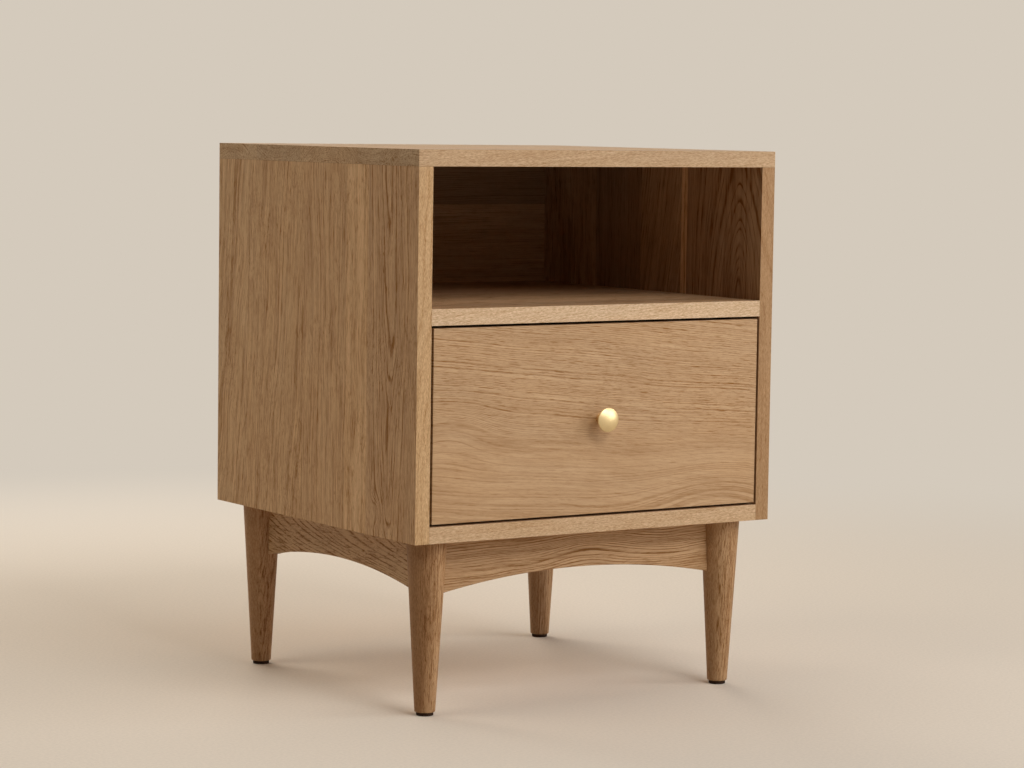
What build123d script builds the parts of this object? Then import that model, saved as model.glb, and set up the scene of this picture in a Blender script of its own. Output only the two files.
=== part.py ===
import math
import os

from build123d import *

# Driving dimensions in millimetres. X runs across the front, -Y faces the user, Z is up.
# The origin is on the floor, in the middle of the nightstand's outline with its knob.

# Case
case_width = 500
case_depth = 470
overall_height = 646
base_height = 203
board = 19
compartment_height = 159
edge_round = 0.4

# Back panel, let into a rebate of the top and the sides
back_thickness = 6
back_rebate = 9.5
back_fit = 0.3

# Drawer front and box
drawer_gap = 3
front_thickness = 19
box_board = 12
box_bottom_thickness = 6
box_groove_depth = 6
box_groove_height = 10
box_under_gap = 14
box_over_gap = 31
box_rear_gap = 35
groove_fit = 0.2

# Telescopic drawer slides, three channels one inside the other
slide_gap = 12.7
slide_height = 45
slide_sheet = 1.2
slide_clearance = 0.3
slide_head_room = 2.1
slide_setback = 3
slide_level = 60
slide_short = 7

# Turned knob
knob_diameter = 28.5
knob_projection = 22
knob_stem_diameter = 11
knob_rim = 1.3
knob_dome_radius = 26
knob_thread_depth = 10

# Base: tapered round legs, arched aprons, corner blocks and foot pads
leg_inset = 41
leg_top_diameter = 47
leg_foot_diameter = 24
leg_foot_round = 1.6
pad_diameter = 20
pad_thickness = 4
pad_round = 0.8
apron_thickness = 19
apron_proud = 2
apron_end_height = 68
apron_middle_height = 45.5
tenon_thickness = 8
tenon_width = 22
tenon_length = 32
tenon_top_margin = 7
tenon_step = 5
tenon_fit = 0.1
block_side = 55
block_height = 35
block_leg_gap = 0.5

# Dowels, screws and nails
dowel_diameter = 8
dowel_length = 36
dowel_face_depth = 12
dowel_margin = 50
box_dowel_diameter = 6
box_dowel_length = 26
box_dowel_face_depth = 8
box_dowel_margin = 30
dowel_fit = 0.1
dowel_end_gap = 0.5
back_screw_margin = 60
back_screw_spread = 240
back_screw_length = 20
slide_screw_margin = 35
slide_case_screw_length = 14
slide_drawer_screw_length = 9
wood_screw_diameter = 3.5
wood_screw_head = 7
wood_screw_head_height = 1.8
front_screw_length = 26
front_screw_margin = 40
base_screw_diameter = 5
base_screw_head = 9
base_screw_head_height = 3
base_screw_reach = 13
knob_screw_diameter = 4
knob_screw_head = 8.5
knob_screw_head_height = 2.6
nail_diameter = 2.4
nail_head = 7
nail_head_height = 1
nail_length = 18
screw_fit = 0.1
recess_reach = 0.55
recess_width = 0.16
recess_depth = 1.1

# Planes and levels that the pieces share
front = (knob_projection - case_depth) / 2
back = front + case_depth
middle = (front + back) / 2
back_face = back - back_thickness
half_width = case_width / 2
inner = half_width - board
top_under = overall_height - board
floor_board_top = base_height + board
shelf_top = top_under - compartment_height
shelf_under = shelf_top - board

box_half = inner - slide_gap
box_inner = box_half - box_board
box_front = front + front_thickness
box_back = back_face - box_rear_gap
box_low = floor_board_top + box_under_gap
box_high = shelf_under - box_over_gap
box_floor_low = box_low + box_groove_height

slide_front = box_front + slide_setback
slide_back = box_back - slide_short
slide_middle_z = box_low + slide_level

knob_z = (floor_board_top + shelf_under) / 2
leg_x = half_width - leg_inset
leg_front_y = front + leg_inset
leg_back_y = back - leg_inset
block_corner = apron_thickness - apron_proud


# The base has a leg, a pad and a block at each corner, by its side of X and of Y
corners = {
    "front_left": (-1, -1),
    "front_right": (1, -1),
    "rear_left": (-1, 1),
    "rear_right": (1, 1),
}


def save(part, name):
    """Name a finished piece and write it to its own file."""
    part.label = name
    export_step(part, f"parts/{name}.step")


def spread(first, last, count):
    """Evenly spaced values from first to last."""
    return [first + (last - first) * i / (count - 1) for i in range(count)]


def slab(low, high, mode=Mode.ADD):
    """A plain block between any two opposite corners, in the part being built."""
    size = [abs(b - a) for a, b in zip(low, high)]
    centre = tuple((a + b) / 2 for a, b in zip(low, high))
    with Locations(centre):
        Box(*size, mode=mode)


def pockets(spots, diameter, length, rotation=(0, 0, 0)):
    """Blind holes for dowels that cross the joint between two boards."""
    with Locations(*spots):
        Cylinder(
            diameter / 2 + dowel_fit,
            length + 2 * dowel_end_gap,
            rotation=rotation,
            mode=Mode.SUBTRACT,
        )


def dowels(spots, diameter, length, rotation=(0, 0, 0)):
    """A group of plain dowels."""
    with BuildPart() as group:
        with Locations(*spots):
            Cylinder(diameter / 2, length, rotation=rotation)
    return group.part


def cross_recess(head, level):
    """The cross for the driver in a screw's head, as a share of the head's width."""
    arm = (head * recess_reach, head * recess_width)
    with Locations((0, 0, level - recess_depth / 2)):
        Box(arm[0], arm[1], recess_depth, mode=Mode.SUBTRACT)
        Box(arm[1], arm[0], recess_depth, mode=Mode.SUBTRACT)


def flat_screw(diameter, head, head_height, length, fit=0, recess=True):
    """A countersunk screw, its head flush at Z = 0 and its shank below."""
    with BuildPart() as screw:
        with Locations((0, 0, -length / 2)):
            Cylinder(diameter / 2 + fit, length + 2 * fit)
        with Locations((0, 0, -head_height / 2)):
            Cone(diameter / 2 + fit, head / 2 + fit, head_height)
        if recess and not fit:
            cross_recess(head, 0)
    return screw.part


def pan_screw(diameter, head, head_height, length, fit=0):
    """A pan-head screw, its head seated on Z = 0 and its shank below."""
    with BuildPart() as screw:
        with Locations((0, 0, -length / 2)):
            Cylinder(diameter / 2 + fit, length + 2 * fit)
        with Locations((0, 0, head_height / 2)):
            Cylinder(head / 2 + fit, head_height)
        fillet(screw.faces().sort_by(Axis.Z)[-1].edges(), head_height / 3)
        if not fit:
            cross_recess(head, head_height)
    return screw.part


def screws(spots, one_screw):
    """A group of the same screw at several places."""
    with BuildPart() as group:
        with Locations(*spots):
            add(one_screw)
    return group.part


def mirrored(part):
    """The right-hand twin of a left-hand piece."""
    with BuildPart() as twin:
        mirror(part, about=Plane.YZ)
    return twin.part


def corner_point(corner, across, along):
    """A plan point, measured from a leg's axis towards the middle of the nightstand."""
    x_side, y_side = corners[corner]
    leg_y = leg_front_y if y_side < 0 else leg_back_y
    return (x_side * (leg_x - across), leg_y - y_side * along)


# Where the dowels, screws and slides go
dowel_rows = spread(front + dowel_margin, back - dowel_margin, 4)
dowel_shift = dowel_length / 2 - dowel_face_depth
side_middle = half_width - board / 2
bottom_middle_z = base_height + board / 2
shelf_middle_z = shelf_top - board / 2
top_dowel_spots = [(x, y, top_under - dowel_shift) for x in (-side_middle, side_middle) for y in dowel_rows]
shelf_dowel_spots = [
    (x, y, shelf_middle_z) for x in (dowel_shift - inner, inner - dowel_shift) for y in dowel_rows
]
bottom_dowel_spots = [(x, y, bottom_middle_z) for x, y, z in shelf_dowel_spots]

box_corner_x = box_inner + box_dowel_face_depth - box_dowel_length / 2
box_dowel_levels = spread(box_low + box_dowel_margin, box_high - box_dowel_margin, 3)
box_dowel_spots = [
    (x, y, z)
    for x in (-box_corner_x, box_corner_x)
    for y in (box_front + box_board / 2, box_back - box_board / 2)
    for z in box_dowel_levels
]

rebate_middle = inner + back_rebate / 2
back_side_levels = spread(base_height + back_screw_margin, top_under - back_screw_margin, 3)
back_screw_places = [(x, z) for x in (-rebate_middle, rebate_middle) for z in back_side_levels]
back_screw_places += [
    (x, z)
    for x in (-back_screw_spread / 2, back_screw_spread / 2)
    for z in (bottom_middle_z, shelf_middle_z, top_under + back_rebate / 2)
]
back_screw_spots = [Location((x, back, z), (-90, 0, 0)) for x, z in back_screw_places]

slide_screw_rows = spread(slide_front + slide_screw_margin, slide_back - slide_screw_margin, 3)
case_screw_spots = [
    Location((side * (inner - slide_sheet), y, slide_middle_z), (0, -90 * side, 0))
    for side in (-1, 1)
    for y in slide_screw_rows
]
drawer_screw_spots = [
    Location((side * (box_half + slide_sheet), y, slide_middle_z), (0, 90 * side, 0))
    for side in (-1, 1)
    for y in slide_screw_rows
]

front_screw_spots = [
    Location((x, box_front + box_board, z), (-90, 0, 0))
    for x in (front_screw_margin - box_inner, box_inner - front_screw_margin)
    for z in (box_low + front_screw_margin, box_high - front_screw_margin)
]
knob_screw_spot = Location((0, box_front + box_board, knob_z), (-90, 0, 0))
knob_screw_length = box_board + front_thickness + knob_thread_depth

screw_place = block_corner + block_side / 3
base_screw_length = block_height + base_screw_reach
base_screw_spots = [
    Location((*corner_point(corner, screw_place, screw_place), base_height - block_height), (180, 0, 0))
    for corner in corners
]
base_screw_sizes = (base_screw_diameter, base_screw_head, base_screw_head_height)
base_screw = flat_screw(*base_screw_sizes, base_screw_length)
base_screw_hole = flat_screw(*base_screw_sizes, base_screw_length, screw_fit)

wood_screw = (wood_screw_diameter, wood_screw_head, wood_screw_head_height)
back_screw = flat_screw(*wood_screw, back_screw_length)
back_screw_hole = flat_screw(*wood_screw, back_screw_length, screw_fit)
slide_case_screw = pan_screw(*wood_screw, slide_case_screw_length)
slide_case_hole = pan_screw(*wood_screw, slide_case_screw_length, screw_fit)
slide_drawer_screw = pan_screw(*wood_screw, slide_drawer_screw_length)
slide_drawer_hole = pan_screw(*wood_screw, slide_drawer_screw_length, screw_fit)
front_screw = pan_screw(*wood_screw, front_screw_length)
front_screw_hole = pan_screw(*wood_screw, front_screw_length, screw_fit)
knob_screw_sizes = (knob_screw_diameter, knob_screw_head, knob_screw_head_height)
knob_bolt = pan_screw(*knob_screw_sizes, knob_screw_length)
knob_bolt_hole = pan_screw(*knob_screw_sizes, knob_screw_length, screw_fit)

os.makedirs("parts", exist_ok=True)

# Top panel, lying over both sides, with a rebate for the back panel
with BuildPart() as top_panel:
    slab((-half_width, front, top_under), (half_width, back, overall_height))
    fillet(top_panel.edges(), edge_round)
    rebate_half = inner + back_rebate
    slab(
        (-rebate_half, back_face, top_under),
        (rebate_half, back + edge_round, top_under + back_rebate),
        mode=Mode.SUBTRACT,
    )
    pockets(top_dowel_spots, dowel_diameter, dowel_length)
    with Locations(*back_screw_spots):
        add(back_screw_hole, mode=Mode.SUBTRACT)
save(top_panel.part, "top_panel")

# Side panels, from under the top down to the underside of the case
with BuildPart() as left_side_panel:
    slab((-half_width, front, base_height), (-inner, back, top_under))
    fillet(left_side_panel.edges(), edge_round)
    slab(
        (-inner - back_rebate, back_face, base_height),
        (-inner, back + edge_round, top_under),
        mode=Mode.SUBTRACT,
    )
    pockets(top_dowel_spots, dowel_diameter, dowel_length)
    pockets(shelf_dowel_spots + bottom_dowel_spots, dowel_diameter, dowel_length, (0, 90, 0))
    with Locations(*back_screw_spots):
        add(back_screw_hole, mode=Mode.SUBTRACT)
    with Locations(*case_screw_spots):
        add(slide_case_hole, mode=Mode.SUBTRACT)
save(left_side_panel.part, "left_side_panel")
save(mirrored(left_side_panel.part), "right_side_panel")

# Shelf over the drawer, between the sides
with BuildPart() as shelf:
    slab((-inner, front, shelf_under), (inner, back_face, shelf_top))
    fillet(shelf.faces().sort_by(Axis.Y)[0].edges().filter_by(Axis.X), edge_round)
    pockets(shelf_dowel_spots, dowel_diameter, dowel_length, (0, 90, 0))
    with Locations(*back_screw_spots):
        add(back_screw_hole, mode=Mode.SUBTRACT)
save(shelf.part, "shelf")

# Bottom panel, between the sides
with BuildPart() as bottom_panel:
    slab((-inner, front, base_height), (inner, back_face, floor_board_top))
    fillet(bottom_panel.faces().sort_by(Axis.Y)[0].edges().filter_by(Axis.X), edge_round)
    pockets(bottom_dowel_spots, dowel_diameter, dowel_length, (0, 90, 0))
    with Locations(*back_screw_spots):
        add(back_screw_hole, mode=Mode.SUBTRACT)
    with Locations(*base_screw_spots):
        add(base_screw_hole, mode=Mode.SUBTRACT)
save(bottom_panel.part, "bottom_panel")

# Back panel, flush with the back edges of the sides
with BuildPart() as back_panel:
    panel_half = inner + back_rebate - back_fit
    panel_top = top_under + back_rebate - back_fit
    slab((-panel_half, back_face, base_height), (panel_half, back, panel_top))
    with Locations(*back_screw_spots):
        add(back_screw_hole, mode=Mode.SUBTRACT)
save(back_panel.part, "back_panel")

save(dowels(top_dowel_spots, dowel_diameter, dowel_length), "top_dowels")
save(dowels(shelf_dowel_spots, dowel_diameter, dowel_length, (0, 90, 0)), "shelf_dowels")
save(dowels(bottom_dowel_spots, dowel_diameter, dowel_length, (0, 90, 0)), "bottom_dowels")
save(screws(back_screw_spots, back_screw), "back_panel_screws")

# Drawer front, set into the case with an even gap all round
with BuildPart() as drawer_front:
    slab(
        (drawer_gap - inner, front, floor_board_top + drawer_gap),
        (inner - drawer_gap, box_front, shelf_under - drawer_gap),
    )
    fillet(drawer_front.faces().sort_by(Axis.Y)[0].edges(), edge_round)
    with Locations(*front_screw_spots):
        add(front_screw_hole, mode=Mode.SUBTRACT)
    with Locations(knob_screw_spot):
        add(knob_bolt_hole, mode=Mode.SUBTRACT)
save(drawer_front.part, "drawer_front")


def cut_groove():
    """The groove that the drawer bottom slides into, cut in one board of the box."""
    reach = box_inner + box_groove_depth
    slab(
        (-reach, box_front + box_board - box_groove_depth, box_floor_low),
        (reach, box_back - box_board + box_groove_depth, box_floor_low + box_bottom_thickness + groove_fit),
        mode=Mode.SUBTRACT,
    )


# Drawer box: front and back boards between two sides
with BuildPart() as drawer_box_front:
    slab((-box_inner, box_front, box_low), (box_inner, box_front + box_board, box_high))
    cut_groove()
    pockets(box_dowel_spots, box_dowel_diameter, box_dowel_length, (0, 90, 0))
    with Locations(*front_screw_spots):
        add(front_screw_hole, mode=Mode.SUBTRACT)
    with Locations(knob_screw_spot):
        add(knob_bolt_hole, mode=Mode.SUBTRACT)
save(drawer_box_front.part, "drawer_box_front")

with BuildPart() as drawer_back:
    slab((-box_inner, box_back - box_board, box_low), (box_inner, box_back, box_high))
    cut_groove()
    pockets(box_dowel_spots, box_dowel_diameter, box_dowel_length, (0, 90, 0))
save(drawer_back.part, "drawer_back")

with BuildPart() as drawer_left_side:
    slab((-box_half, box_front, box_low), (-box_inner, box_back, box_high))
    fillet(drawer_left_side.faces().sort_by(Axis.Z)[-1].edges().filter_by(Axis.Y), edge_round)
    cut_groove()
    pockets(box_dowel_spots, box_dowel_diameter, box_dowel_length, (0, 90, 0))
    with Locations(*drawer_screw_spots):
        add(slide_drawer_hole, mode=Mode.SUBTRACT)
save(drawer_left_side.part, "drawer_left_side")
save(mirrored(drawer_left_side.part), "drawer_right_side")

with BuildPart() as drawer_bottom:
    reach = box_groove_depth - groove_fit
    slab(
        (-box_inner - reach, box_front + box_board - reach, box_floor_low),
        (box_inner + reach, box_back - box_board + reach, box_floor_low + box_bottom_thickness),
    )
save(drawer_bottom.part, "drawer_bottom")

save(dowels(box_dowel_spots, box_dowel_diameter, box_dowel_length, (0, 90, 0)), "drawer_box_dowels")
save(screws(front_screw_spots, front_screw), "drawer_front_screws")

# Knob: a stem that curves out to a thin rim, and a domed face. The rim is round and runs into the dome.
knob_radius = knob_diameter / 2
rim_centre = knob_radius - knob_rim
stem_radius = knob_stem_diameter / 2
neck_round = rim_centre - stem_radius
dome_rise = math.sqrt((knob_dome_radius - knob_rim) ** 2 - rim_centre**2)
rim_out = knob_projection - knob_dome_radius + dome_rise
neck_out = rim_out - knob_rim - neck_round
dome_tilt = math.atan2(rim_centre, dome_rise)
dome_edge = knob_dome_radius * math.sin(dome_tilt)
dome_edge_out = knob_projection - knob_dome_radius * (1 - math.cos(dome_tilt))
dome_half = knob_dome_radius * math.sin(dome_tilt / 2)
dome_half_out = knob_projection - knob_dome_radius * (1 - math.cos(dome_tilt / 2))
quarter = neck_round * math.sqrt(0.5)


def knob_point(radius, out):
    """A point of the knob's outline, by its distance from the axis and from the drawer front."""
    return (radius, front - out)


with BuildPart() as knob:
    with BuildSketch(Plane.XY.offset(knob_z)):
        with BuildLine():
            Polyline(knob_point(0, 0), knob_point(stem_radius, 0), knob_point(stem_radius, neck_out))
            ThreePointArc(
                knob_point(stem_radius, neck_out),
                knob_point(rim_centre - quarter, neck_out + quarter),
                knob_point(rim_centre, rim_out - knob_rim),
            )
            ThreePointArc(
                knob_point(rim_centre, rim_out - knob_rim),
                knob_point(knob_radius, rim_out),
                knob_point(dome_edge, dome_edge_out),
            )
            ThreePointArc(
                knob_point(dome_edge, dome_edge_out),
                knob_point(dome_half, dome_half_out),
                knob_point(0, knob_projection),
            )
            Line(knob_point(0, knob_projection), knob_point(0, 0))
        make_face()
    revolve(axis=Axis((0, 0, knob_z), (0, 1, 0)))
    with Locations(knob_screw_spot):
        add(knob_bolt_hole, mode=Mode.SUBTRACT)
save(knob.part, "knob")
save(screws([knob_screw_spot], knob_bolt), "knob_screw")


# Telescopic slides. Each channel is drawn by its distance from the side panel, for the left side.
def channel(web, lips, height):
    """One sheet-metal channel: its web at one distance, its lips reaching to another."""
    step = slide_sheet if lips > web else -slide_sheet
    low = slide_middle_z - height / 2
    high = slide_middle_z + height / 2
    slab((web - inner, slide_front, low), (web + step - inner, slide_back, high))
    slab((web - inner, slide_front, low), (lips - inner, slide_back, low + slide_sheet))
    slab((web - inner, slide_front, high - slide_sheet), (lips - inner, slide_back, high))


nest = 2 * (slide_sheet + slide_clearance)
middle_web = slide_sheet + slide_head_room
middle_lips = slide_gap - slide_sheet - slide_clearance
drawer_lips = middle_web + slide_sheet + slide_clearance

with BuildPart() as left_slide_case_member:
    channel(0, middle_lips, slide_height)
    with Locations(*case_screw_spots):
        add(slide_case_hole, mode=Mode.SUBTRACT)

with BuildPart() as left_slide_middle_member:
    channel(middle_web, middle_lips, slide_height - nest)

with BuildPart() as left_slide_drawer_member:
    channel(slide_gap, drawer_lips, slide_height - 2 * nest)
    with Locations(*drawer_screw_spots):
        add(slide_drawer_hole, mode=Mode.SUBTRACT)

left_members = {
    "case": left_slide_case_member.part,
    "middle": left_slide_middle_member.part,
    "drawer": left_slide_drawer_member.part,
}
for member, solid in left_members.items():
    save(mirrored(solid), f"right_slide_{member}_member")
    save(solid, f"left_slide_{member}_member")
save(screws(case_screw_spots, slide_case_screw), "slide_case_screws")
save(screws(drawer_screw_spots, slide_drawer_screw), "slide_drawer_screws")

# Base
leg_length = base_height - pad_thickness
leg_span = leg_back_y - leg_front_y
tenon_middle = apron_thickness / 2 - apron_proud
nail_sizes = (nail_diameter, nail_head, nail_head_height, nail_length)
nail = flat_screw(*nail_sizes, recess=False)
nail_hole = flat_screw(*nail_sizes, screw_fit)
nail_level = pad_thickness / 2
nail_spots = [Location((*corner_point(corner, 0, 0), nail_level), (180, 0, 0)) for corner in corners]


def leg_cone(corner, mode=Mode.ADD, gap=0):
    """The plain tapered round of one leg, grown by a gap."""
    with Locations((*corner_point(corner, 0, 0), pad_thickness + leg_length / 2)):
        Cone(leg_foot_diameter / 2 + gap, leg_top_diameter / 2 + gap, leg_length, mode=mode)


def tenon(corner, across, mode=Mode.ADD, fit=0):
    """A loose tenon from a leg's axis into an apron; those along Y lie a step lower."""
    high = base_height - tenon_top_margin
    if not across:
        high -= tenon_width + tenon_step
    near = (-fit, tenon_middle - tenon_thickness / 2 - fit)
    far = (tenon_length + fit, tenon_middle + tenon_thickness / 2 + fit)
    if not across:
        near, far = near[::-1], far[::-1]
    slab(
        (*corner_point(corner, *near), high - tenon_width - fit),
        (*corner_point(corner, *far), high + fit),
        mode=mode,
    )


for corner in corners:
    with BuildPart() as leg:
        leg_cone(corner)
        fillet(leg.faces().sort_by(Axis.Z)[0].edges(), leg_foot_round)
        tenon(corner, True, Mode.SUBTRACT, tenon_fit)
        tenon(corner, False, Mode.SUBTRACT, tenon_fit)
        with Locations(*nail_spots):
            add(nail_hole, mode=Mode.SUBTRACT)
    save(leg.part, f"{corner}_leg")

    with BuildPart() as pad:
        with Locations((*corner_point(corner, 0, 0), pad_thickness / 2)):
            Cylinder(pad_diameter / 2, pad_thickness)
        fillet(pad.faces().sort_by(Axis.Z)[0].edges(), pad_round)
        with Locations(*nail_spots):
            add(nail_hole, mode=Mode.SUBTRACT)
    save(pad.part, f"{corner}_pad")

    with BuildPart() as corner_block:
        with BuildSketch(Plane.XY.offset(base_height - block_height)):
            Polygon(
                corner_point(corner, block_corner, block_corner),
                corner_point(corner, block_corner + block_side, block_corner),
                corner_point(corner, block_corner, block_corner + block_side),
                align=None,
            )
        extrude(amount=block_height)
        leg_cone(corner, Mode.SUBTRACT, block_leg_gap)
        with Locations(*base_screw_spots):
            add(base_screw_hole, mode=Mode.SUBTRACT)
    save(corner_block.part, f"{corner}_corner_block")

# Aprons: an arched board between two legs, fitted round them and mitred inside the corner
aprons = {
    "front_apron": ((0, -1), (0, leg_front_y - apron_proud), 2 * leg_x),
    "rear_apron": ((0, 1), (0, leg_back_y + apron_proud), 2 * leg_x),
    "left_apron": ((-1, 0), (-leg_x - apron_proud, middle), leg_span),
    "right_apron": ((1, 0), (leg_x + apron_proud, middle), leg_span),
}
for name, (outward, face, span) in aprons.items():
    half = span / 2
    along = (-outward[1], outward[0], 0)
    with BuildPart() as apron:
        with BuildSketch(Plane((*face, base_height), along, (*outward, 0))):
            with BuildLine():
                Polyline((-half, -apron_end_height), (-half, 0), (half, 0), (half, -apron_end_height))
                ThreePointArc((half, -apron_end_height), (0, -apron_middle_height), (-half, -apron_end_height))
            make_face()
        extrude(amount=-apron_thickness)
        chamfer(apron.edges().filter_by(GeomType.CIRCLE), edge_round)
        with BuildSketch(Plane((*face, 0), along, (0, 0, 1))):
            mitre = half - block_corner
            Polygon(
                (-half, 0),
                (half, 0),
                (half, apron_proud),
                (mitre, apron_thickness),
                (-mitre, apron_thickness),
                (-half, apron_proud),
                align=None,
            )
        extrude(amount=base_height, mode=Mode.INTERSECT)
        for corner in corners:
            leg_cone(corner, Mode.SUBTRACT)
            tenon(corner, outward[0] == 0, Mode.SUBTRACT, tenon_fit)
    save(apron.part, name)

with BuildPart() as apron_tenons:
    for corner in corners:
        tenon(corner, True)
        tenon(corner, False)
save(apron_tenons.part, "apron_tenons")
save(screws(base_screw_spots, base_screw), "base_screws")
save(screws(nail_spots, nail), "pad_nails")
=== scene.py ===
import math

import bpy
from mathutils import Matrix, Vector

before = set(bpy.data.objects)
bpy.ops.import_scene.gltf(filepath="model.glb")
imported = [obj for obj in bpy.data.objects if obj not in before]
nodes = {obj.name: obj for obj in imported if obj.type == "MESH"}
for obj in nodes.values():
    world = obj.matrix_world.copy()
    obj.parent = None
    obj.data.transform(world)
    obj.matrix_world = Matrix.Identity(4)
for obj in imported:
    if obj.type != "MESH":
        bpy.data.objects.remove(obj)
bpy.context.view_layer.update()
scene = bpy.context.scene
scene.view_settings.view_transform = "Standard"

MM = 0.001
MM_PER_METRE = (1000, 1000, 1000)
AXES = "XYZ"
CORNERS = ("front_left", "front_right", "rear_left", "rear_right")


class Net:
    """The node tree of one material, built up socket by socket."""

    def __init__(self, tree):
        self.tree = tree
        self.tree.nodes.clear()

    def put(self, socket, value):
        """Link an input to an output, or give it a fixed value."""
        if isinstance(value, bpy.types.NodeSocket):
            self.tree.links.new(value, socket)
        else:
            socket.default_value = value

    def node(self, kind, inputs=None, **settings):
        made = self.tree.nodes.new(kind)
        for key, value in settings.items():
            setattr(made, key, value)
        for key, value in (inputs or {}).items():
            self.put(made.inputs[key], value)
        return made

    def math(self, operation, *values):
        return self.node("ShaderNodeMath", dict(enumerate(values)), operation=operation).outputs[0]

    def add(self, *values):
        total = values[0]
        for value in values[1:]:
            total = self.math("ADD", total, value)
        return total

    def mul(self, *values):
        total = values[0]
        for value in values[1:]:
            total = self.math("MULTIPLY", total, value)
        return total

    def scale_add(self, value, factor, extra):
        return self.math("MULTIPLY_ADD", value, factor, extra)

    def less(self, value, amount):
        return self.math("SUBTRACT", value, amount)

    def centred(self, noise):
        """Noise that goes from 0 to 1, moved to lie about 0."""
        return self.less(noise, 0.5)

    def vector(self, operation, *values):
        made = self.node("ShaderNodeVectorMath", dict(enumerate(values)), operation=operation)
        return made.outputs["Value" if operation == "LENGTH" else "Vector"]

    def join(self, x, y, z):
        return self.node("ShaderNodeCombineXYZ", {0: x, 1: y, 2: z}).outputs[0]

    def split(self, vector):
        return self.node("ShaderNodeSeparateXYZ", {0: vector}).outputs

    def noise(self, place, detail=2.0, roughness=0.5):
        settings = {"Vector": place, "Scale": 1.0, "Detail": detail, "Roughness": roughness}
        return self.node("ShaderNodeTexNoise", settings).outputs

    def noise_line(self, place, detail=2.0):
        settings = {"W": place, "Scale": 1.0, "Detail": detail}
        return self.node("ShaderNodeTexNoise", settings, noise_dimensions="1D").outputs[0]

    def chance(self, place):
        return self.node("ShaderNodeTexWhiteNoise", {"W": place}, noise_dimensions="1D").outputs[0]

    def ramp(self, value, low, high, to_low=0.0, to_high=1.0):
        settings = {0: value, 1: low, 2: high, 3: to_low, 4: to_high}
        return self.node("ShaderNodeMapRange", settings, interpolation_type="SMOOTHSTEP").outputs[0]

    def mix(self, share, first, second):
        made = self.node("ShaderNodeMix", {0: share}, data_type="RGBA")
        self.put(made.inputs[6], first)
        self.put(made.inputs[7], second)
        return made.outputs[2]

    def tint(self, colour, factor):
        return self.vector("MULTIPLY", colour, factor)

    def bump(self, height, strength, depth):
        """A normal for a surface whose marks are so deep, in millimetres."""
        settings = {"Strength": strength, "Distance": depth * MM, "Height": height}
        return self.node("ShaderNodeBump", settings).outputs[0]

    def shows_backdrop(self):
        """1 for a ray from the camera, in gloss or through glass, and 0 for one that carries light."""
        ray = self.node("ShaderNodeLightPath").outputs
        straight = self.add(ray["Is Camera Ray"], ray["Is Glossy Ray"], ray["Is Transmission Ray"])
        return self.math("MINIMUM", straight, 1.0)


def rgb(r, g, b):
    """A colour of the screen, from 0 to 255, as the linear values that nodes take."""
    return tuple(v / 255 / 12.92 if v <= 10 else ((v / 255 + 0.055) / 1.055) ** 2.4 for v in (r, g, b))


def solid(colour):
    return (*colour, 1.0)


def new_material(name):
    material = bpy.data.materials.new(name)
    material.use_nodes = True
    return material, Net(material.node_tree)


def finish_material(net, shader):
    net.node("ShaderNodeOutputMaterial", {"Surface": shader.outputs[0]})


def dress(material, *names):
    """Give CAD nodes their finish."""
    for name in names:
        slots = nodes[name].data.materials
        slots.clear()
        slots.append(material)


# Wood

OAK = rgb(188, 152, 114)
BEECH = rgb(200, 163, 123)
PALE = rgb(210, 181, 139)

# What a full mark takes from red, green and blue: darker wood is also redder
DARKER = (-1.0, -1.36, -1.9)
PALEST_MARK, DARKEST_MARK = -0.35, 0.5
FIBRE_MARK, CLOUD_MARK = 0.55, 0.22
MEAN_SPRING, MEAN_STREAK, MEAN_PITS = 0.27, 0.3, 0.2
WARM_CLOUD, YELLOW_CLOUD = 0.06, -0.10

# How squarely a face has to look along an axis to count as an edge, an end or the outside
SQUARE = (0.55, 0.9)
EDGE_CONTRAST, EDGE_SPECK = 0.45, 1.4
END_CONTRAST, END_TINT = 1.8, (0.84, 0.87, 0.88)
OUTSIDE_SHARE = 0.8

# Sways of the grain: how wide, how long and how detailed
LONG_SWAY = (80, 190, 1.5)
SHORT_RIPPLE = (15, 55, 1.0)
KNOT_FIGURE = 0.6


def board(pith, lean=(0, 0), ring=2.6, tone=(1, 1, 1), shift=0.0, figure=1.0):
    """One stave: where the heart of its tree lies across and behind it, how that line leans along the
    grain, the width of a year's growth, its tint, a number that sets its noise apart, and how strongly
    its years show."""
    return {"heart": (*pith, 1 / ring), "lean": (*lean, shift), "tone": tone, "figure": (figure,) * 3}


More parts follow.
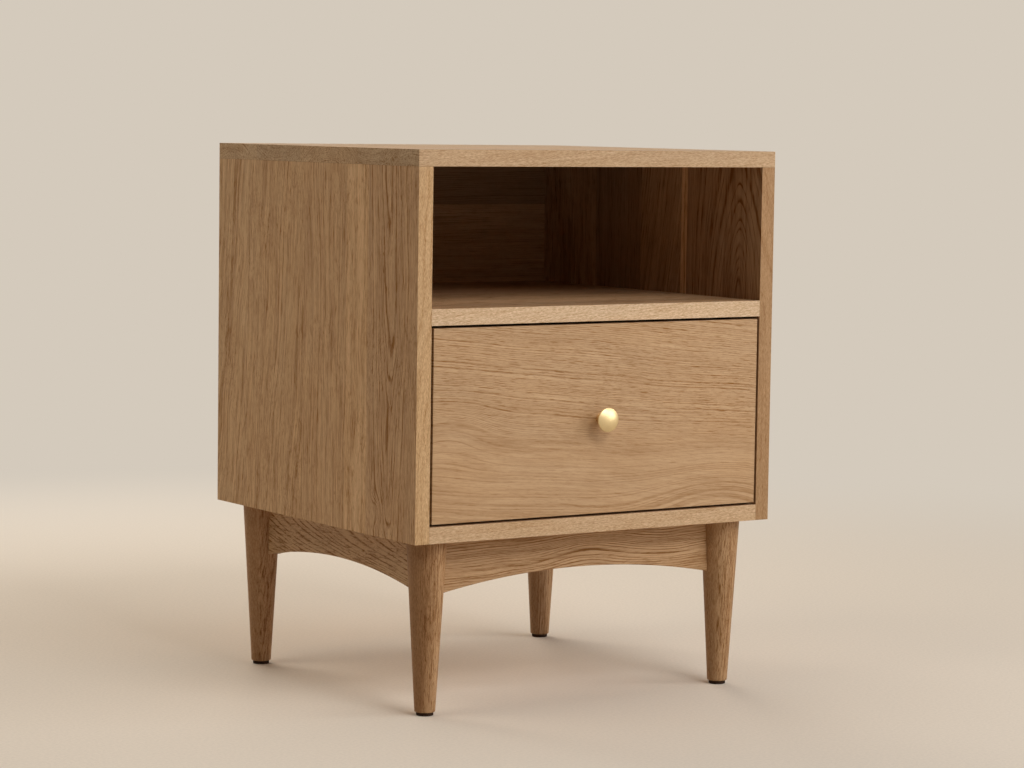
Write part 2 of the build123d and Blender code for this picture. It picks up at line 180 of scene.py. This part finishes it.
class Timber:
    """The trees that a piece was cut from, as sockets in millimetres: each point's place across the
    staves, into their depth and along the grain, and its place about its own stave's heart."""

    def __init__(self, net, grain, across, boards, seams):
        depth = next(axis for axis in AXES if axis not in (grain, across))
        order = [AXES.index(axis) for axis in (across, depth, grain)]
        spot = net.node("ShaderNodeTexCoord").outputs
        place = net.split(net.vector("MULTIPLY", spot["Object"], MM_PER_METRE))
        normal = net.split(spot["Normal"])
        self.net = net
        self.boards = boards
        self.seams = seams
        self.across, self.depth, self.along = (place[number] for number in order)
        self.facing_across, self.facing_depth, self.facing_grain = (normal[number] for number in order)
        self.heart = net.split(self.by_board("heart"))
        self.lean = net.split(self.by_board("lean"))
        self.shift = self.lean[2]
        self.figure = net.split(self.by_board("figure"))[0]

    def by_board(self, key):
        """A value that changes from stave to stave."""
        values = [stave[key] for stave in self.boards]
        total = tuple(values[0])
        for seam, before, after in zip(self.seams, values, values[1:]):
            step = self.net.math("GREATER_THAN", self.across, seam)
            change = tuple(new - old for old, new in zip(before, after))
            total = self.net.vector("MULTIPLY_ADD", step, change, total)
        return total

    def sway(self, wide, long, detail):
        """Three slow noises, so wide across the grain and so long along it."""
        net = self.net
        place = net.join(
            net.add(net.mul(self.across, 1 / wide), self.shift),
            net.mul(self.depth, 1 / wide),
            net.mul(self.along, 1 / long),
        )
        return net.split(net.noise(place, detail)[1])

    def grow(self, wander, ripple, swells):
        """Lay the trees through the piece. Their grain flows in long sways and short ripples, and their
        years swell out round each knot and show more there."""
        net = self.net
        swaying = self.sway(*LONG_SWAY)
        rippling = self.sway(*SHORT_RIPPLE)
        about_heart = []
        for number, value in enumerate((self.across, self.depth)):
            flow = net.scale_add(net.centred(swaying[number]), 2 * wander, value)
            flow = net.scale_add(net.centred(rippling[number]), ripple, flow)
            heart_line = net.scale_add(self.along, self.lean[number], self.heart[number])
            about_heart.append(net.less(flow, heart_line))
        self.beside, self.behind = about_heart
        squares = net.add(net.mul(self.beside, self.beside), net.mul(self.behind, self.behind))
        self.radius = net.math("SQRT", squares)
        for at_across, at_along, wide, long, push in swells:
            near_across = net.mul(net.add(self.across, -at_across), 1 / wide)
            near_along = net.mul(net.add(self.along, -at_along), 1 / long)
            near = net.add(net.mul(near_across, near_across), net.mul(near_along, near_along))
            rise = net.math("EXPONENT", net.mul(near, -1.0))
            self.radius = net.scale_add(rise, push, self.radius)
            self.figure = net.scale_add(rise, KNOT_FIGURE, self.figure)

    def drawn(self, start, across_scale, along_scale, detail, roughness=0.5):
        """Noise drawn out along the grain, which follows the flow of the grain."""
        net = self.net
        place = net.join(
            net.add(net.mul(start, across_scale), self.shift),
            net.mul(self.behind, across_scale),
            net.mul(self.along, along_scale),
        )
        return net.noise(place, detail, roughness)

    def fibres(self, across_scale, along_scale, detail, roughness=0.5):
        return self.drawn(self.beside, across_scale, along_scale, detail, roughness)


def year_rings(timber, young, uneven, ripe):
    """The dark early wood of each year. The years differ in width and in strength, and they fade in and
    out along the grain."""
    net = timber.net
    pace = net.noise_line(net.scale_add(timber.radius, 0.07, timber.shift), detail=1.0)
    inside = net.math("MINIMUM", net.add(timber.radius, -young[0]), 0.0)
    grown = net.scale_add(inside, young[1] - 1.0, timber.radius)
    years = net.scale_add(pace, 4.0, net.mul(grown, timber.heart[2]))
    own_number = net.add(net.math("FLOOR", years), timber.shift)
    strength = net.scale_add(net.chance(own_number), uneven, 1.0 - uneven)
    patches = timber.fibres(across_scale=0.15, along_scale=0.018, detail=1.0)[0]
    fade = net.ramp(patches, low=0.35, high=0.62, to_low=1.0 - 1.25 * uneven)
    strength = net.mul(strength, fade, timber.figure, ripe)
    season = net.math("FRACT", years)
    after = net.ramp(season, low=0.0, high=0.35, to_low=1.0, to_high=0.0)
    before = net.ramp(season, low=0.85, high=1.0)
    return net.mul(net.less(net.math("MAXIMUM", after, before), MEAN_SPRING), strength)


def pore_rows(timber, spring, fine, ripe):
    """Dark streaks, and pores of two sizes. All of them gather in the early wood."""
    net = timber.net
    streaks = timber.fibres(across_scale=0.7 * fine, along_scale=fine / 55, detail=2.0)[0]
    dashes = timber.fibres(across_scale=2.6 * fine, along_scale=0.12 * fine, detail=1.0)[0]
    dots = timber.fibres(across_scale=5.2 * fine, along_scale=0.28 * fine, detail=1.0)[0]
    streak = net.ramp(net.scale_add(spring, 0.10, streaks), low=0.50, high=0.66)
    dash = net.ramp(net.scale_add(spring, 0.10, dashes), low=0.55, high=0.70)
    dot = net.ramp(net.scale_add(spring, 0.07, dots), low=0.54, high=0.70)
    pitted = net.math("MAXIMUM", dash, net.mul(dot, 0.75))
    return net.less(streak, MEAN_STREAK), net.mul(pitted, ripe)


def wood(
    name,
    grain,
    across,
    boards,
    seams=(),
    base=OAK,
    contrast=1.0,
    lines=0.21,
    bands=0.30,
    fine=0.45,
    stretch=32,
    streaks=0.15,
    pits=0.20,
    wander=6.0,
    ripple=3.0,
    swells=(),
    mature=(0, 1),
    young=(0, 1),
    uneven=0.6,
    edge=(1, 1, 1),
    outside=None,
    roughness=0.52,
    lacquer=0.0,
):
    """Solid wood: year rings about the heart of each stave's tree, cut by the faces of the piece, so that
    long faces show flames and streaks and end faces show arcs. Lengths are in millimetres.

    grain and across are the axes along the grain and across the staves, and seams are where the staves
    meet. lines, bands, streaks and pits say how dark the years, the bands of years, the streaks and the
    pores are, and contrast scales all marks on the broad faces. fine is how closely the fibres lie, and
    stretch how long they are. wander and ripple say how far the grain sways. Each of swells is a knot:
    its place across and along, its reach both ways, and how far it pushes the years. Years inside the
    radius young[0] are young[1] times as close, and marks reach full strength over the radii in mature.
    uneven is how much the years differ. edge tints the narrow edges. outside is a way along the depth and
    the even tint of the face that looks that way, which keeps painted shade in stave tones off that face.
    lacquer is the weight of a clear coat."""
    material, net = new_material(name)
    timber = Timber(net, grain, across, boards, seams)
    timber.grow(wander, ripple, swells)
    ripe = net.ramp(timber.radius, *mature, to_low=0.5)
    spring = year_rings(timber, young, uneven, ripe)
    streak, pitted = pore_rows(timber, spring, fine, ripe)
    band = net.centred(timber.drawn(timber.radius, across_scale=0.12, along_scale=0.004, detail=3.0)[0])
    fibre = net.centred(timber.fibres(fine, fine / stretch, detail=4.0, roughness=0.65)[0])
    clouds = timber.fibres(across_scale=0.03, along_scale=0.006, detail=2.0)
    speck = net.centred(timber.fibres(across_scale=1.5, along_scale=0.22, detail=2.0, roughness=0.7)[0])
    edge_cut = net.ramp(net.math("ABSOLUTE", timber.facing_across), *SQUARE)
    end_cut = net.ramp(net.math("ABSOLUTE", timber.facing_grain), *SQUARE)

    # All marks together, calmer on the narrow edges, which have a fine speck, and stronger on the ends
    marks = net.add(
        net.mul(spring, lines),
        net.mul(band, bands),
        net.mul(fibre, FIBRE_MARK),
        net.mul(net.centred(clouds[0]), CLOUD_MARK),
        net.mul(streak, streaks),
        net.mul(net.less(pitted, MEAN_PITS), pits),
    )
    marks = net.mul(marks, net.scale_add(edge_cut, EDGE_CONTRAST - contrast, contrast))
    marks = net.mul(marks, net.scale_add(end_cut, END_CONTRAST - 1.0, 1.0))
    marks = net.scale_add(speck, net.mul(edge_cut, EDGE_SPECK), marks)
    marks = net.math("MINIMUM", net.math("MAXIMUM", marks, PALEST_MARK), DARKEST_MARK)

    # Colour: the marks, the tint of each stave, slow changes of hue, and the tints of edges and ends
    colour = net.tint(net.vector("MULTIPLY_ADD", marks, DARKER, (1, 1, 1)), base)
    tones = timber.by_board("tone")
    # Stave tones may hold painted shade of an inner face; the face that looks outside takes an even tint
    # instead
    if outside:
        way, even_tint = outside
        faces_out = net.ramp(net.mul(timber.facing_depth, way), *SQUARE)
        tones = net.mix(net.mul(faces_out, OUTSIDE_SHARE), tones, solid(even_tint))
    hue = net.centred(net.split(clouds[1])[1])
    red = net.add(net.mul(hue, WARM_CLOUD), 1.0)
    blue = net.add(net.mul(hue, YELLOW_CLOUD), 1.0)
    colour = net.tint(net.tint(colour, tones), net.join(red, 1.0, blue))
    colour = net.mix(edge_cut, colour, net.tint(colour, edge))
    colour = net.mix(end_cut, colour, net.tint(colour, END_TINT))

    height = net.add(net.mul(pitted, -1.0), net.mul(spring, -0.25), net.mul(fibre, 0.6))
    shader = net.node(
        "ShaderNodeBsdfPrincipled",
        {
            "Base Color": colour,
            "Roughness": net.add(roughness, net.mul(pitted, 0.18), net.mul(fibre, -0.15)),
            "Specular IOR Level": 0.28,
            "Normal": net.bump(height, strength=0.35, depth=0.25),
        },
    )
    if lacquer:
        broad_face = net.math("SUBTRACT", 1.0, net.math("MAXIMUM", edge_cut, end_cut))
        net.put(shader.inputs["Coat Weight"], net.mul(broad_face, lacquer))
        net.put(shader.inputs["Coat Roughness"], 0.5)
    finish_material(net, shader)
    return material


# Case. Hearts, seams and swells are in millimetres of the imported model.

top = wood(
    "oak_top",
    "X",
    "Y",
    [
        board((-210, 560), (0.01, 0.06), 2.4, (0.94, 0.95, 0.96), 1.3),
        board((-120, 690), (0.0, -0.05), 2.9, (1.0, 1.0, 1.0), 8.1),
        board((-20, 575), (0.02, 0.04), 2.6, (1.04, 1.01, 0.97), 3.7),
        board((95, 700), (-0.02, -0.06), 3.0, (0.96, 0.96, 0.96), 5.9),
        board((215, 580), (0.0, 0.05), 2.5, (1.01, 1.0, 0.98), 2.2),
    ],
    (-183, -90, 44, 150),
    edge=(1.08, 1.11, 1.14),
    lacquer=0.4,
)
dress(top, "top_panel")

left = wood(
    "oak_left_side",
    "Z",
    "Y",
    [
        board((-165, -293), (0.0, 0.06), 4.2, (0.88, 0.82, 0.74), 4.4, 1.2),
        board((95, -306), (0.01, 0.03), 6.0, (1.10, 1.06, 0.97), 1.9, 0.6),
        board((95, -306), (0.01, 0.03), 6.0, (0.96, 0.91, 0.82), 1.9),
        board((-10, -330), (-0.05, -0.06), 6.0, (0.95, 0.90, 0.80), 2.6, 0.8),
        board((345, -320), (-0.12, 0.03), 6.0, (0.96, 0.92, 0.83), 9.2, 0.8),
    ],
    (-115, -66, 35, 170),
    contrast=1.6,
    lines=0.30,
    bands=0.14,
    fine=0.36,
    stretch=60,
    streaks=0.12,
    pits=0.26,
    wander=12.0,
    ripple=3.0,
    swells=[(-141, 232, 9, 16, 9.0)],
    uneven=0.5,
    edge=(1.24, 1.31, 1.31),
)
dress(left, "left_side_panel")

# The right side's stave tones are partly the wood's own and partly painted shade of its inner wall;
# outside gives its outer face an even tint
right = wood(
    "oak_right_side",
    "Z",
    "Y",
    [
        board((-181, 221), (0.0, 0.0), 7.0, (0.68, 0.60, 0.54), 6.1, 0.55),
        board((230, 400), (0.02, 0.0), 2.2, (1.32, 1.30, 1.25), 2.8, 0.3),
        board((-156, 190), (-0.17, 0.02), 3.6, (0.76, 0.71, 0.66), 3.3, 0.5),
        board((340, 300), (0.0, -0.02), 3.2, (0.56, 0.50, 0.47), 5.5, 0.3),
        board((-120, 150), (0.0, 0.02), 3.4, (0.58, 0.55, 0.56), 8.8, 0.3),
        board((340, 140), (0.02, -0.05), 2.6, (0.80, 0.79, 0.82), 1.1, 0.3),
    ],
    (-75, -63, 22, 52, 121),
    contrast=1.7,
    lines=0.50,
    bands=0.20,
    fine=0.30,
    wander=5.0,
    ripple=2.0,
    swells=[(-181, 660, 70, 130, 45.0)],
    edge=(1.14, 1.16, 1.08),
    outside=(1, (0.95, 0.90, 0.81)),
)
dress(right, "right_side_panel")

shelf = wood(
    "oak_shelf",
    "X",
    "Y",
    [
        board((-236, 430), (0.04, 0.10), 2.6, (0.92, 0.88, 0.85), 3.1),
        board((-180, 560), (0.02, 0.05), 2.8, (0.78, 0.74, 0.71), 5.6),
        board((-140, 410), (0.0, -0.05), 2.5, (0.95, 0.92, 0.89), 1.4),
        board((-60, 520), (0.0, -0.06), 2.9, (0.84, 0.79, 0.74), 7.7),
        board((-20, 400), (0.01, 0.05), 2.7, (0.76, 0.71, 0.66), 4.2),
        board((80, 420), (0.02, 0.05), 2.6, (0.86, 0.81, 0.77), 0.9),
        board((190, 510), (0.0, -0.05), 2.8, (0.80, 0.78, 0.77), 4.9),
    ],
    (-192, -158, -104, -52, 15, 120),
    contrast=1.3,
    lines=0.25,
    edge=(1.42, 1.64, 1.92),
)
dress(shelf, "shelf")

bottom = wood(
    "oak_bottom",
    "X",
    "Y",
    [
        board((-330, 150), (0.01, 0.03), 2.2, (1.02, 1.0, 0.98), 6.6),
        board((-60, 280), (0.0, -0.06), 2.9, (0.98, 0.97, 0.96), 2.5),
        board((90, 160), (0.02, 0.05), 2.7, (1.0, 1.0, 1.0), 9.4),
    ],
    (-110, 40),
    edge=(1.12, 1.19, 1.26),
)
dress(bottom, "bottom_panel")

# The back's top stave is darker as painted shade under the top in the open compartment; outside gives its
# outer face an even tint
back = wood(
    "oak_back",
    "X",
    "Z",
    [
        board((280, 300), (0.02, 0.05), 2.5, (1.0, 1.0, 1.0), 3.9),
        board((400, 200), (-0.02, -0.05), 2.8, (0.98, 0.97, 0.96), 6.3),
        board((860, 310), (0.0, 0.02), 2.8, (1.0, 1.0, 1.0), 1.6),
        board((930, 190), (0.01, -0.02), 2.9, (0.60, 0.56, 0.54), 8.3),
    ],
    (330, 450, 569),
    lines=0.30,
    wander=3.0,
    ripple=1.2,
    outside=(1, (1.0, 0.97, 0.93)),
    roughness=0.6,
)
dress(back, "back_panel")

# Drawer

drawer_front = wood(
    "oak_drawer_front",
    "X",
    "Z",
    [board((60, -254), (-0.10, 0.0), 2.6, (0.97, 0.94, 0.89), 5.2)],
    lines=0.35,
    bands=0.08,
    fine=0.45,
    streaks=0.04,
    pits=0.36,
    wander=5.0,
    ripple=1.6,
    swells=[(225, 190, 70, 120, -45), (330, -200, 35, 50, -16)],
    mature=(235, 300),
    young=(250, 0.25),
    uneven=0.4,
)
dress(drawer_front, "drawer_front")

drawer_floor = wood(
    "oak_drawer_bottom",
    "X",
    "Y",
    [
        board((-120, 210), (0.02, 0.05), 2.6, (1.02, 1.02, 1.0), 2.1),
        board((80, 310), (0.0, -0.05), 2.8, (1.0, 1.0, 1.0), 7.1),
    ],
    (-10,),
    roughness=0.6,
)
dress(drawer_floor, "drawer_bottom")

PLAIN_CONTRAST = 0.3
for name, grain, heart in (
    ("drawer_box_front", "X", (300, -260)),
    ("drawer_back", "X", (340, 260)),
    ("drawer_left_side", "Y", (310, -270)),
    ("drawer_right_side", "Y", (350, 270)),
):
    stave = board(heart, (0.01, 0.05), 3.4, (1, 1, 1), len(name))
    box_wood = wood("box_" + name, grain, "Z", [stave], base=PALE, contrast=PLAIN_CONTRAST)
    dress(box_wood, name)

# Base. Each leg is darker on its left, as painted shade of the side turned from the key light, and pales
# in even steps about the place given.

LEG_TONE = (0.75, 0.66, 0.55)
LEG_STEPS = 4
LEG_STEP_WIDTH = 3.5
for number, (name, heart, lean, middle, painted_shade_tone) in enumerate(
    (
        ("front_left_leg", (-330, -100), (0.01, 0.02), -212, (0.56, 0.45, 0.34)),
        ("front_right_leg", (330, -90), (-0.01, 0.02), 204, (0.70, 0.62, 0.51)),
        ("rear_left_leg", (-262, 150), (0.03, 0.05), -204, (0.66, 0.56, 0.46)),
        ("rear_right_leg", (110, 290), (0.02, -0.03), 213, (0.60, 0.54, 0.48)),
    )
):
    # Painted shade: the tones run from the shaded left side to the leg's own tone
    painted_shade_steps = [Vector(painted_shade_tone).lerp(Vector(LEG_TONE), step / LEG_STEPS) for step in range(LEG_STEPS + 1)]
    leg = wood(
        "oak_" + name,
        "Z",
        "X",
        [board(heart, lean, 2.5, tone, 2.7 * number + 0.4) for tone in painted_shade_steps],
        [middle + LEG_STEP_WIDTH * (step - (LEG_STEPS - 1) / 2) for step in range(LEG_STEPS)],
        contrast=2.4,
        lines=0.11,
        fine=0.6,
        pits=0.24,
        wander=2.0,
        ripple=1.0,
    )
    dress(leg, name)

APRON_TONE = (0.83, 0.77, 0.68)
# SHADY_TONE is painted shade: the left apron, turned from the key light, is coloured darker than the
# others
SHADY_TONE = (0.77, 0.72, 0.65)
FRONT_KNOTS = ((170, 10, 30, 50, -6.0), (190, 130, 40, 60, 5.0))
for name, grain, heart, lean, ring, tone, contrast, wander, ripple, knots in (
    ("front_apron", "X", (20, -330), (0.0, 0.03), 2.3, APRON_TONE, 1.5, 4.0, 3.0, FRONT_KNOTS),
    ("rear_apron", "X", (60, 330), (0.03, -0.05), 2.3, APRON_TONE, 1.7, 4.0, 3.0, ()),
    ("left_apron", "Y", (212, -283), (0.0, -0.12), 2.8, SHADY_TONE, 2.6, 3.0, 1.2, ()),
    ("right_apron", "Y", (40, 330), (0.04, 0.06), 2.3, APRON_TONE, 1.7, 4.0, 3.0, ()),
):
    apron = wood(
        "oak_" + name,
        grain,
        "Z",
        [board(heart, lean, ring, tone, len(name) * 1.7)],
        contrast=contrast,
        lines=0.42,
        wander=wander,
        ripple=ripple,
        swells=knots,
    )
    dress(apron, name)

# Hidden joinery

for name, grain, across in (
    ("top_dowels", "Z", "X"),
    ("shelf_dowels", "X", "Y"),
    ("bottom_dowels", "X", "Y"),
    ("drawer_box_dowels", "X", "Y"),
    ("apron_tenons", "Z", "X"),
    *((f"{corner}_corner_block", "Z", "X") for corner in CORNERS),
):
    stave = board((400, 400), (0.02, 0.03), 3.0)
    joint_wood = wood("beech_" + name, grain, across, [stave], base=BEECH, contrast=PLAIN_CONTRAST)
    dress(joint_wood, name)


# Metal and plastic


def metal(name, colour, roughness, spread, grain_scale, pit):
    """Metal with fine marks: cloudy roughness that varies by spread, a slight unevenness of tone, and
    pits so strong."""
    material, net = new_material(name)
    spot = net.node("ShaderNodeTexCoord").outputs["Object"]
    fine = net.noise(net.vector("MULTIPLY", spot, grain_scale), detail=3.0, roughness=0.6)[0]
    broad = net.noise(net.vector("MULTIPLY", spot, (90, 90, 90)), detail=2.0)[0]
    mark = net.centred(fine)
    patch = net.centred(broad)
    tone = net.add(1.0, net.mul(mark, 0.12), net.mul(patch, 0.10))
    shader = net.node(
        "ShaderNodeBsdfPrincipled",
        {
            "Base Color": net.tint(tone, colour),
            "Metallic": 1.0,
            "Roughness": net.add(roughness, net.mul(mark, spread), net.mul(patch, spread * 0.8)),
            "Normal": net.bump(fine, strength=pit, depth=0.05),
        },
    )
    finish_material(net, shader)
    return material


def dark_pad(name):
    """Fuzzy dark brown plastic."""
    material, net = new_material(name)
    spot = net.node("ShaderNodeTexCoord").outputs["Object"]
    fuzz = net.noise(net.vector("MULTIPLY", spot, (1500, 1500, 1500)), detail=3.0, roughness=0.7)[0]
    shade = net.ramp(fuzz, low=0.3, high=0.75)
    shader = net.node(
        "ShaderNodeBsdfPrincipled",
        {
            "Base Color": net.mix(shade, solid(rgb(36, 21, 12)), solid(rgb(60, 39, 24))),
            "Roughness": net.ramp(fuzz, low=0.2, high=0.8, to_low=0.75, to_high=0.95),
            "Specular IOR Level": 0.2,
            "Normal": net.bump(fuzz, strength=0.5, depth=0.3),
        },
    )
    finish_material(net, shader)
    return material


brass = metal("satin_brass", rgb(228, 204, 156), 0.45, 0.08, (900, 900, 900), 0.06)
dress(brass, "knob")
sheet = metal("zinc_sheet", rgb(196, 198, 200), 0.36, 0.16, (900, 40, 900), 0.15)
for side in ("left", "right"):
    dress(sheet, *(f"{side}_slide_{member}_member" for member in ("case", "middle", "drawer")))
zinc = metal("zinc_screw", rgb(190, 190, 186), 0.38, 0.18, (700, 700, 700), 0.2)
dress(
    zinc,
    "back_panel_screws",
    "slide_case_screws",
    "slide_drawer_screws",
    "drawer_front_screws",
    "knob_screw",
    "base_screws",
    "pad_nails",
)
dress(dark_pad("brown_pad"), *(f"{corner}_pad" for corner in CORNERS))

# Floor, fading into the backdrop's colour far from the nightstand

BACKDROP = rgb(212, 202, 188)
FLOOR = rgb(238, 225, 209)
FLOOR_REACH = 14
FADE_FROM, FADE_TO = 0.8, 2.3


def pale_floor(name):
    """A matt floor that keeps shadows near the nightstand and shows the backdrop's colour far from it."""
    material, net = new_material(name)
    spot = net.node("ShaderNodeTexCoord").outputs["Object"]
    fade = net.ramp(net.vector("LENGTH", spot), FADE_FROM, FADE_TO)
    speck = net.noise(net.vector("MULTIPLY", spot, (260, 260, 260)), detail=2.0)[0]
    near = net.node(
        "ShaderNodeBsdfPrincipled",
        {
            "Base Color": net.tint(net.ramp(speck, low=0.2, high=0.8, to_low=0.96, to_high=1.04), FLOOR),
            "Roughness": 0.9,
            "Specular IOR Level": 0.1,
        },
    ).outputs[0]
    far = net.node("ShaderNodeEmission", {"Color": solid(BACKDROP), "Strength": 1.0}).outputs[0]
    share = net.mul(fade, net.shows_backdrop())
    finish_material(net, net.node("ShaderNodeMixShader", {0: share, 1: near, 2: far}))
    return material


floor_mesh = bpy.data.meshes.new("floor")
floor_corners = [(x * FLOOR_REACH, y * FLOOR_REACH, 0) for x, y in ((-1, -1), (1, -1), (1, 1), (-1, 1))]
floor_mesh.from_pydata(floor_corners, [], [(0, 1, 2, 3)])
floor_mesh.materials.append(pale_floor("pale_floor"))
floor = bpy.data.objects.new("floor", floor_mesh)
scene.collection.objects.link(floor)

# Light: a large soft key from the front right, panels in front, on the left, behind and overhead, and a
# faint warm room, which the camera and gloss see as the backdrop

AMBIENT = 0.02
AMBIENT_COLOUR = (1.0, 0.93, 0.83)
scene.world = bpy.data.worlds.new("room")
scene.world.use_nodes = True
room = Net(scene.world.node_tree)
glow = room.node("ShaderNodeBackground", {"Color": solid(AMBIENT_COLOUR), "Strength": AMBIENT}).outputs[0]
view = room.node("ShaderNodeBackground", {"Color": solid(BACKDROP), "Strength": 1.0}).outputs[0]
room_light = room.node("ShaderNodeMixShader", {0: room.shows_backdrop(), 1: glow, 2: view})
room.node("ShaderNodeOutputWorld", {"Surface": room_light.outputs[0]})


def softbox(name, place, aim, size, power, colour=(1, 1, 1), shine=True):
    """A large soft lamp, so wide and so high, with or without a mirror image in what it lights."""
    data = bpy.data.lights.new(name, "AREA")
    data.shape = "RECTANGLE"
    data.size, data.size_y = size
    data.energy = power
    data.color = colour
    lamp = bpy.data.objects.new(name, data)
    lamp.location = place
    lamp.rotation_euler = (Vector(aim) - Vector(place)).to_track_quat("-Z", "Y").to_euler()
    lamp.visible_camera = False
    lamp.visible_glossy = shine
    scene.collection.objects.link(lamp)


softbox("key", (2.8, -2.9, 1.7), (0, 0, 0.35), (3.2, 2.0), 77)
softbox("front_fill", (0.2, -2.8, 2.6), (0, 0, 0.35), (1.5, 1.5), 44)
softbox("left_fill", (-2.4, 0.3, 2.9), (0, 0, 0.5), (1.9, 1.9), 20, (1.0, 0.91, 0.78))
softbox("rear_fill", (0.2, 3.6, 1.3), (0, 0, 0.1), (3.6, 2.2), 120, (1.0, 0.94, 0.85), shine=False)
softbox("overhead", (0.3, 0.2, 3.2), (0, 0, 0.4), (2.4, 2.4), 12)

# Camera, as the photograph was taken

YAW, PITCH, ROLL = (math.radians(angle) for angle in (33.38, -4.92, 0.80))
CAMERA_PLACE = (-2.07263, -3.18352, 0.68537)
FOCAL_PIXELS = 3125.9
IMAGE_WIDTH = 1024
SENSOR_WIDTH = 36
forward = Vector((math.sin(YAW) * math.cos(PITCH), math.cos(YAW) * math.cos(PITCH), math.sin(PITCH)))
level = Vector((math.cos(YAW), -math.sin(YAW), 0))
upright = level.cross(forward)
side_axis = level * math.cos(ROLL) + upright * math.sin(ROLL)
up_axis = upright * math.cos(ROLL) - level * math.sin(ROLL)
turn = Matrix((side_axis, up_axis, -forward)).transposed().to_4x4()
lens = bpy.data.cameras.new("camera")
lens.sensor_width = SENSOR_WIDTH
lens.sensor_fit = "HORIZONTAL"
lens.lens = FOCAL_PIXELS * SENSOR_WIDTH / IMAGE_WIDTH
lens.clip_end = 100
camera = bpy.data.objects.new("camera", lens)
camera.matrix_world = Matrix.Translation(CAMERA_PLACE) @ turn
scene.collection.objects.link(camera)
scene.camera = camera
